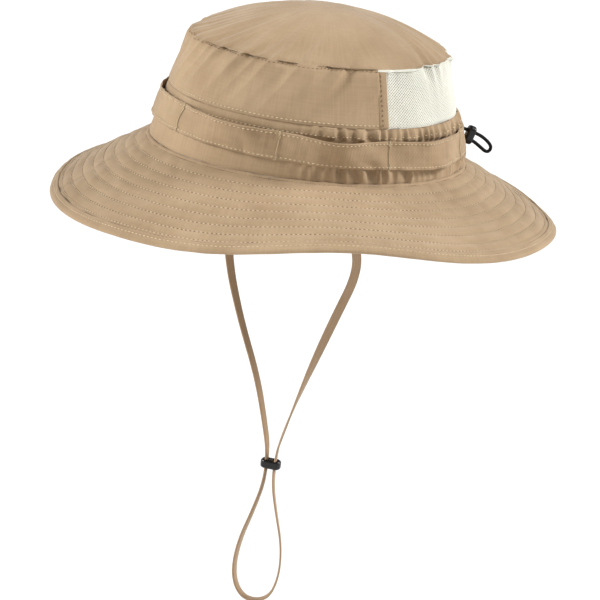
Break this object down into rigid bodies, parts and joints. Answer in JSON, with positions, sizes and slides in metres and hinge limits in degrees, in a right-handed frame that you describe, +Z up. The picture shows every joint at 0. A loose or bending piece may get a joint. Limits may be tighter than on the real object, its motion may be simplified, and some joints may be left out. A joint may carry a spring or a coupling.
{
  "type": "boonie hat",
  "caption": "Soft wide-brimmed sun hat with a mesh rear panel, a tacked outer band, a rear elastic drawcord with toggle and a chin strap with a sliding bead.",
  "frame": {"origin": "centre of the head opening, in the plane where the crown meets the brim", "axes": "+Z up through the crown, -Y to the front of the hat, +Y to the drawcord at the rear, +X to the wearer's left"},
  "size_m": [0.3114, 0.3314, 0.42],
  "materials": {
    "tan_ripstop": "matt woven cotton and nylon cloth",
    "cream_mesh": "open knitted mesh",
    "seam_tape": "thin woven tape",
    "sweatband_cloth": "soft brushed lining",
    "label_cloth": "blank satin tape",
    "tan_thread": "twisted sewing thread",
    "interlining": "stiff fused canvas",
    "tan_webbing": "folded cloth tape",
    "black_elastic": "braided elastic cord",
    "black_plastic": "smooth moulded"
  },
  "bodies": {
    "hat": {"crown_tip": "tan_ripstop", "crown_side_front": "tan_ripstop", "crown_side_mesh": "cream_mesh", "base_strip_front": "tan_ripstop", "base_strip_rear": "tan_ripstop", "tip_seam_tape": "seam_tape", "side_seam_tape_left": "seam_tape", "side_seam_tape_right": "seam_tape", "sweatband": "sweatband_cloth", "care_label": "label_cloth", "outer_band": "tan_ripstop", "band_tacks": "tan_thread", "brim_top": "tan_ripstop", "brim_interlining": "interlining", "brim_underside": "tan_ripstop", "brim_binding": "tan_ripstop", "drawcord_channel": "seam_tape", "drawcord_left": "black_elastic", "drawcord_right": "black_elastic", "drawcord_end_tacks": "tan_thread", "strap_end_left": "tan_webbing", "strap_end_right": "tan_webbing"},
    "drawcord_loop": {"drawcord_loop": "black_elastic"},
    "drawcord_toggle": {"drawcord_toggle": "black_plastic"},
    "chin_strap": {"chin_strap_left": "tan_webbing", "chin_strap_right": "tan_webbing", "chin_strap_loop": "tan_webbing"},
    "chin_slider": {"chin_slider": "black_plastic"}
  },
  "joints": [
    {"name": "chin_strap_swing", "type": "hinge", "parent": "hat", "child": "chin_strap", "pos_m": [0, 0, -0.003], "axis": [1, 0, 0], "range_deg": [-50, 50]},
    {"name": "chin_slider_slide", "type": "slide", "parent": "chin_strap", "child": "chin_slider", "axis": [0, 0, 1], "range_m": [-0.06, 0.11], "deforming": ["chin_strap_left", "chin_strap_right", "chin_strap_loop"]},
    {"name": "drawcord_loop_swing", "type": "hinge", "parent": "hat", "child": "drawcord_loop", "pos_m": [0, 0.1026, 0.017], "axis": [1, 0, 0], "range_deg": [0, 40], "deforming": ["drawcord_loop"]},
    {"name": "drawcord_toggle_slide", "type": "slide", "parent": "drawcord_loop", "child": "drawcord_toggle", "axis": [0, 0.9613, -0.2756], "range_m": [0, 0.011]}
  ]
}
